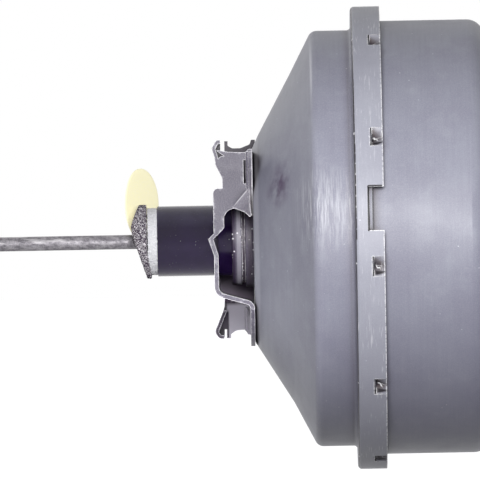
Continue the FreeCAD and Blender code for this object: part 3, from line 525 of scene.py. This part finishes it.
def metal(name, bright, dull, rough):
    """Plated or oiled metal with stains and fine scratches."""
    f = Finish(name)
    stains = f.noise(240, detail=6, roughness=0.7)
    scratches = f.streaks(2600, 300, detail=2)
    base = f.mix(f.between(stains, 0.35, 0.65), dull, bright)
    base = f.mix(f.between(scratches, 0.55, 0.75, 0.0, 0.35), base, bright)
    f.set(base_color=base, metallic=0.9,
          roughness=f.between(stains, 0.3, 0.7, rough + 0.14, rough - 0.06),
          normal=f.bump(stains, 0.06 * MM, 0.4))
    return f.material


def rod_steel():
    """Cold-drawn rod: matt grey with dark scale in patches, fine pits and a few bright rubs."""
    f = Finish("bare_steel")
    scale = f.streaks(260, 420, detail=8, roughness=0.75)
    fine = f.noise(1500, detail=4, roughness=0.7)
    rubs = f.streaks(45, 260, detail=4)
    base = f.mix(f.between(scale, 0.36, 0.6), colour(0.13, 0.12, 0.14), colour(0.42, 0.4, 0.43))
    base = f.mix(f.between(fine, 0.52, 0.66, 0.0, 0.8), base, colour(0.07, 0.06, 0.075))
    base = f.mix(f.between(rubs, 0.58, 0.7, 0.0, 0.7), base, colour(0.7, 0.68, 0.7))
    f.set(base_color=base, metallic=0.35, roughness=f.between(scale, 0.3, 0.7, 0.6, 0.45),
          normal=f.bump(fine, 0.15 * MM, 0.6))
    return f.material


def rubber():
    """Matt black rubber with a grey bloom and a fine grain."""
    f = Finish("rubber")
    bloom_and_reflection = f.noise(180, detail=5)
    f.set(base_color=f.mix(bloom_and_reflection, colour(0.012, 0.012, 0.013), colour(0.045, 0.045, 0.047)),
          roughness=f.between(bloom_and_reflection, 0.3, 0.7, 0.55, 0.75),
          normal=f.bump(f.noise(1400, detail=2), 0.04 * MM, 0.4))
    return f.material


def moulded(name, light, dark):
    """Moulded plastic with faint clouding, a fine grain and dust in its corners."""
    f = Finish(name)
    cloud = f.noise(140, detail=4)
    base = f.mix(cloud, dark, light)
    dust = f.times(f.shelter(4 * MM, 0.4, 0.9), f.between(f.noise(260), 0.35, 0.65))
    base = f.mix(f.times(dust, 0.35), base, colour(0.16, 0.14, 0.12))
    f.set(base_color=base, roughness=f.between(cloud, 0.3, 0.7, 0.36, 0.48),
          normal=f.bump(f.noise(1800, detail=2), 0.03 * MM, 0.35))
    return f.material


def felt_wool():
    """Pressed white wool: tangled fibres with grey lint between them."""
    f = Finish("felt")
    fibres = f.noise(2200, detail=5, roughness=0.75, distortion=1.2)
    lint = f.noise(420, detail=4, roughness=0.7)
    base = f.mix(f.between(fibres, 0.32, 0.6), colour(0.6, 0.6, 0.66), colour(0.97, 0.97, 0.99))
    base = f.mix(f.between(lint, 0.52, 0.72, 0.0, 0.6), base, colour(0.55, 0.55, 0.6))
    f.set(base_color=base, roughness=0.95, sheen_weight=0.4, normal=f.bump(fibres, 0.3 * MM, 0.8))
    return f.material


def foam_cells():
    """Open-cell foam: pale worn struts round dark pores, browner towards its pointed back."""
    f = Finish("foam")
    struts = f.cells(1150, feature="DISTANCE_TO_EDGE")
    worn = f.noise(1100, detail=4, roughness=0.7)
    back = f.between(f.along("X"), foam_brown_start, foam_brown_end)
    dark = f.mix(back, colour(0.042, 0.024, 0.058), colour(0.09, 0.06, 0.055))
    pale = f.mix(f.between(worn, 0.47, 0.51), colour(0.09, 0.065, 0.095), colour(1.0, 0.96, 1.0))
    f.set(base_color=f.mix(f.between(struts, 0.175, 0.085), dark, pale), roughness=0.92,
          normal=f.bump(f.between(struts, 0.0, 0.3, 1.0, 0.0), 0.4 * MM, 0.9))
    return f.material


def tag_card():
    """Thin pale yellow card with faint fibres, and a painted glow: it emits its own colour in
    place of light coming through the card.
    """
    f = Finish("yellow_card")
    fibres = f.noise(900, detail=5, roughness=0.7)
    base = f.mix(f.between(fibres, 0.3, 0.7), colour(0.9, 0.85, 0.55), colour(0.93, 0.89, 0.62))
    # Painted glow: emission in the card's own colour.
    f.set(base_color=base, roughness=0.8, emission_color=base, emission_strength=0.48,
          normal=f.bump(fibres, 0.04 * MM, 0.3))
    return f.material


def mesh_object(name, mesh, finish, body, node):
    """Shows a mesh as a piece that rides on a body and stands for its CAD node."""
    piece = bpy.data.objects.new(name, mesh)
    bpy.context.scene.collection.objects.link(piece)
    mesh.materials.append(finish)
    mesh.polygons.foreach_set("use_smooth", [True] * len(mesh.polygons))
    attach(piece, body)
    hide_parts(node)
    return piece


def remeshed(name, bm, voxel):
    """An even mesh of the same form, with faces about one voxel wide."""
    coarse = bpy.data.meshes.new(name + "_coarse")
    bm.to_mesh(coarse)
    bm.free()
    holder = bpy.data.objects.new(name + "_coarse", coarse)
    bpy.context.scene.collection.objects.link(holder)
    modifier = holder.modifiers.new("even", "REMESH")
    modifier.mode = "VOXEL"
    modifier.voxel_size = voxel
    fine = bpy.data.meshes.new_from_object(
        holder.evaluated_get(bpy.context.evaluated_depsgraph_get()))
    fine.name = name
    bpy.data.objects.remove(holder)
    bpy.data.meshes.remove(coarse)
    return fine


def roughened(mesh, depth, scale, inwards):
    """Moves each vertex along its normal by smooth noise, less a share of the depth."""
    moved = [v.co + v.normal * depth * (noise.noise(v.co * scale) - inwards)
             for v in mesh.vertices]
    for vertex, place in zip(mesh.vertices, moved):
        vertex.co = place


def node_bmesh(node):
    made = bmesh.new()
    made.from_mesh(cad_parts[node].data)
    bmesh.ops.remove_doubles(made, verts=made.verts, dist=1e-6)
    return made


def filter_felt(finish):
    """The felt layers with a rough woollen surface."""
    mesh = remeshed("felt_layers", node_bmesh("filter_felt"), 0.45 * MM)
    roughened(mesh, 0.35 * MM, 900, 0.35)
    return mesh_object("felt_layers", mesh, finish, "power_piston", "filter_felt")


def coil(node, body, finish):
    """A coil spring's CAD mesh, shown as a piece of its own that rides on a body."""
    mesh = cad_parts[node].data.copy()
    mesh.materials.clear()
    piece = mesh_object(node + "_coil", mesh, finish, body, node)
    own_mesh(piece)


def foam_back(z):
    """How far back the foam reaches at a height: a blunt point with two slanting faces."""
    slant = foam_low_slope if z < foam_point_z else -foam_high_slope
    blunt = foam_blunt * math.exp(-((z - foam_point_z) / foam_blunt_half) ** 2)
    return foam_point_x + blunt + slant * (foam_point_z - z)


def filter_foam(finish):
    """A foam disc against the felt, cut to a slanting point behind, with a lip under the felt."""
    rings = [foam_hole_r + (foam_r - foam_hole_r) * i / foam_rings for i in range(foam_rings + 1)]
    made = bmesh.new()
    rows = []
    for front in (False, True):
        for r in rings[::-1] if front else rings:
            row = []
            for step in range(foam_steps):
                turn = 2 * math.pi * step / foam_steps
                y, z = r * math.cos(turn), r * math.sin(turn)
                lip = foam_lip * min(max(-z / foam_lip_fade - 0.3, 0.0), 1.0) * (r > foam_lip_r)
                x = foam_front_x + lip if front else min(foam_back(z), foam_front_x - foam_thin)
                row.append(made.verts.new((x, y, z)))
            rows.append(row)
    for one, two in zip(rows, rows[1:] + rows[:1]):
        for step in range(foam_steps):
            after = (step + 1) % foam_steps
            made.faces.new((one[step], one[after], two[after], two[step]))
    bmesh.ops.recalc_face_normals(made, faces=made.faces)
    mesh = remeshed("foam_wedge", made, 0.5 * MM)
    roughened(mesh, 0.5 * MM, 1100, 0.4)
    return mesh_object("foam_wedge", mesh, finish, "input_rod", "filter_foam")


def card_tag(finish):
    """The tag as a thin card with a slight bow and a soft rim, in the place of its CAD disc."""
    bm = node_bmesh("card_tag")
    normal = max(bm.faces, key=lambda f: f.calc_area()).normal.normalized()
    points = [v.co.copy() for v in bm.verts]
    bm.free()
    middle = sum(points, Vector()) / len(points)
    along = Vector((0, 0, 1))
    across = normal.cross(along).normalized()
    radius = max((p - middle).dot(along) for p in points)
    half = max((p - middle).dot(normal) for p in points)
    face = [(0.0, 1.0), (0.2, 1.0), (0.4, 1.0), (0.6, 1.0), (0.8, 1.0), (0.94, 1.0),
            (0.98, 0.85), (1.0, 0.4)]
    made = bmesh.new()
    rows = []
    for share, side in face + [(share, -side) for share, side in face[::-1]]:
        row = []
        for step in range(tag_steps if share else 1):
            turn = 2 * math.pi * step / tag_steps
            a, b = share * radius * math.cos(turn), share * radius * math.sin(turn)
            lift = tag_bow * ((b / radius) ** 2 - 0.5) + half * side
            row.append(made.verts.new(middle + across * a + along * b + normal * lift))
        rows.append(row)
    for one, two in zip(rows, rows[1:]):
        for step in range(tag_steps):
            corners = []
            for row, place in ((one, step), (one, step + 1), (two, step + 1), (two, step)):
                corner = row[place % len(row)]
                if corner not in corners:
                    corners.append(corner)
            made.faces.new(corners)
    bmesh.ops.recalc_face_normals(made, faces=made.faces)
    mesh = bpy.data.meshes.new("blank_tag")
    made.to_mesh(mesh)
    made.free()
    return mesh_object("blank_tag", mesh, finish, "input_rod", "card_tag")


def camera():
    data = bpy.data.cameras.new("camera")
    data.sensor_width = sensor_width
    data.lens = sensor_width * camera_distance / view_width
    data.clip_end = 10 * camera_distance
    made = bpy.data.objects.new("camera", data)
    bpy.context.scene.collection.objects.link(made)
    level = Matrix.Rotation(math.radians(90), 4, "X") @ Matrix.Rotation(-view_roll, 4, "Z")
    made.matrix_world = Matrix.Translation((view_middle_x, -camera_distance, 0)) @ level
    bpy.context.scene.camera = made


def seen_share(tree):
    """1 for rays that show the background: from the camera, off gloss and through glass."""
    path = tree.nodes.new("ShaderNodeLightPath")
    total = path.outputs["Is Camera Ray"]
    for ray in ("Is Glossy Ray", "Is Transmission Ray"):
        add = tree.nodes.new("ShaderNodeMath")
        add.operation = "ADD"
        add.use_clamp = True
        tree.links.new(total, add.inputs[0])
        tree.links.new(path.outputs[ray], add.inputs[1])
        total = add.outputs[0]
    return total


def lamp(name, kind, power, place, target):
    light = bpy.data.lights.new(name, kind)
    light.energy = power
    made = bpy.data.objects.new(name, light)
    made.location = place
    made.rotation_euler = (target - place).to_track_quat("-Z", "Y").to_euler()
    bpy.context.scene.collection.objects.link(made)
    return made


def soft_box(name, power, place):
    """A square lamp that the camera doesn't see, aimed at the key light's target."""
    made = lamp(name, "AREA", power, place, key_target)
    made.data.size = box_size
    made.visible_camera = False
    return made


def keep_off(made, *nodes):
    """Leaves pieces out of a lamp's light."""
    spared = bpy.data.collections.new(made.name + "_spares")
    for node in nodes:
        spared.objects.link(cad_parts[node])
    for entry in spared.collection_objects:
        entry.light_linking.link_state = "EXCLUDE"
    made.light_linking.receiver_collection = spared


def low_beam():
    """A narrow beam from below onto the bracket's lower corner, with no gloss of its own."""
    made = lamp("low", "SPOT", low_power, low_place, low_target)
    made.data.spot_size = low_angle
    made.data.spot_blend = 1.0
    made.data.shadow_soft_size = low_radius
    made.visible_glossy = False


def surroundings():
    """A world that is white where it is seen and dim as light, and the four lamps."""
    world = bpy.data.worlds.new("world")
    bpy.context.scene.world = world
    world.use_nodes = True
    tree = world.node_tree
    strength = tree.nodes.new("ShaderNodeMapRange")
    tree.links.new(seen_share(tree), strength.inputs["Value"])
    strength.inputs["To Min"].default_value = ambient
    strength.inputs["To Max"].default_value = 1.0
    back = tree.nodes["Background"]
    back.inputs["Color"].default_value = (1, 1, 1, 1)
    tree.links.new(strength.outputs["Result"], back.inputs["Strength"])
    keep_off(soft_box("key", key_power, key_place), "valve_body")
    soft_box("fill", fill_power, fill_place)
    soft_box("back", back_power, back_place)
    low_beam()


def floor():
    """A wide floor that glows white where it is seen and takes the part's shadow."""
    half = floor_size / 2
    mesh = bpy.data.meshes.new("floor")
    corners = [(-half, -half, floor_z), (half, -half, floor_z), (half, half, floor_z),
               (-half, half, floor_z)]
    mesh.from_pydata(corners, [], [(0, 1, 2, 3)])
    made = bpy.data.objects.new("floor", mesh)
    bpy.context.scene.collection.objects.link(made)
    material = bpy.data.materials.new("floor")
    material.use_nodes = True
    tree = material.node_tree
    shader = tree.nodes["Principled BSDF"]
    shader.inputs["Base Color"].default_value = floor_colour
    shader.inputs["Roughness"].default_value = 0.9
    shader.inputs["Emission Color"].default_value = (1, 1, 1, 1)
    glow = tree.nodes.new("ShaderNodeMath")
    glow.operation = "MULTIPLY"
    tree.links.new(seen_share(tree), glow.inputs[0])
    glow.inputs[1].default_value = floor_glow
    tree.links.new(glow.outputs[0], shader.inputs["Emission Strength"])
    mesh.materials.append(material)


def dress(finish, *nodes):
    """Gives kept CAD nodes a finish."""
    for name in nodes:
        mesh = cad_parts[name].data
        mesh.materials.clear()
        mesh.materials.append(finish)


camera()
surroundings()
floor()

dress(banded_paint(), "rear_shell")
dress(lined(*shell_base("front_shell_paint")), "front_shell")
dress(neck_paint(), "rear_neck")
dress(bracket_paint(), "firewall_bracket")
dress(black_resin(), "valve_body")
dress(rod_steel(), "input_pushrod", "output_pushrod", "valve_plunger")
dress(metal("zinc_steel", colour(0.62, 0.6, 0.5), colour(0.4, 0.37, 0.28), 0.38),
      "stud_plate", "master_cylinder_studs", "pushrod_screw", "seal_retainer", "pushrod_clip",
      "diaphragm_plate", "poppet_retainer", "spring_seat", "valve_key")
spring_steel = metal("spring_steel", colour(0.45, 0.45, 0.47), colour(0.2, 0.2, 0.21), 0.35)
dress(spring_steel, "poppet_spring")
coil("return_spring", "power_piston", spring_steel)
coil("valve_return_spring", "input_rod", spring_steel)
coil("check_spring", "check_disc", spring_steel)
dress(rubber(), "diaphragm", "rear_seal", "front_seal", "poppet_valve", "reaction_disc",
      "valve_grommet", "check_poppet")
dress(moulded("nylon", colour(0.78, 0.76, 0.69), colour(0.68, 0.65, 0.56)), "rear_bearing",
      "pedal_bush", "ball_seat")
dress(moulded("moulded_resin", colour(0.06, 0.06, 0.066), colour(0.02, 0.02, 0.023)),
      "check_valve_body", "check_valve_cover")

filter_felt(felt_wool())
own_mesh(filter_foam(foam_cells()))
card_tag(tag_card())

bpy.context.scene.view_settings.view_transform = "Standard"
